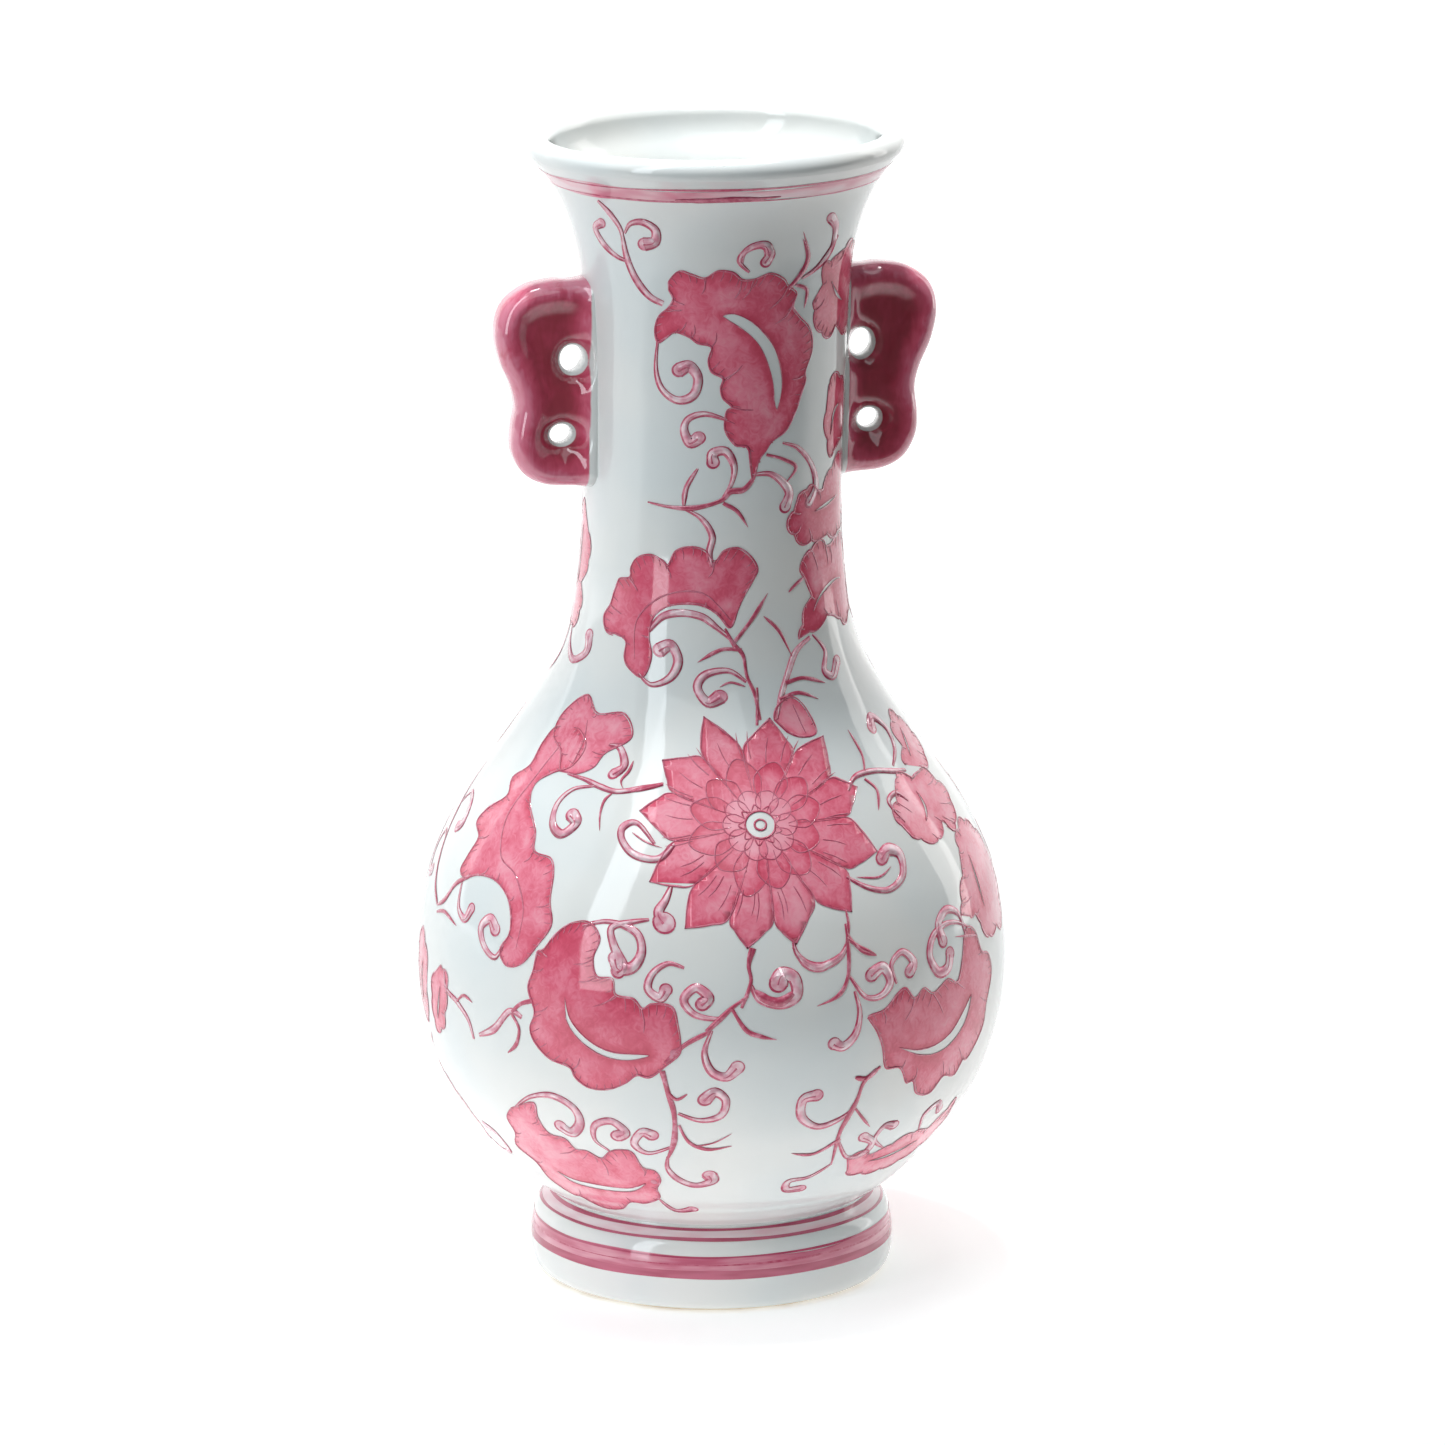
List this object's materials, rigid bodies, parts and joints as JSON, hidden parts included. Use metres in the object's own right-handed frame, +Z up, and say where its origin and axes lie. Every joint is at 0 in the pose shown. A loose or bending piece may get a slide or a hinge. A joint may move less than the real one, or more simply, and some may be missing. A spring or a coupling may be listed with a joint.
{
  "type": "vase",
  "caption": "Porcelain vase with a round belly, slender neck, flared mouth, hollow foot ring and an ear-shaped handle on each side of the neck.",
  "frame": {"origin": "centre of the plane that the foot ring stands on", "axes": "+Z up along the vase's axis, the handles on +X and -X, the painted front towards -Y"},
  "size_m": [0.153, 0.153, 0.3007],
  "materials": {
    "white_glaze": "glossy white porcelain glaze",
    "pink_glaze": "glossy pink glaze, pooled dark in the hollows and thin on the edges",
    "brushwork": "pink brush painting under a glossy clear glaze"
  },
  "bodies": {
    "root": {"foot_ring": "white_glaze", "lower_belly": "white_glaze", "upper_belly": "white_glaze", "neck": "white_glaze", "flared_mouth": "white_glaze", "handle_left": "pink_glaze", "handle_right": "pink_glaze"}
  },
  "joints": []
}
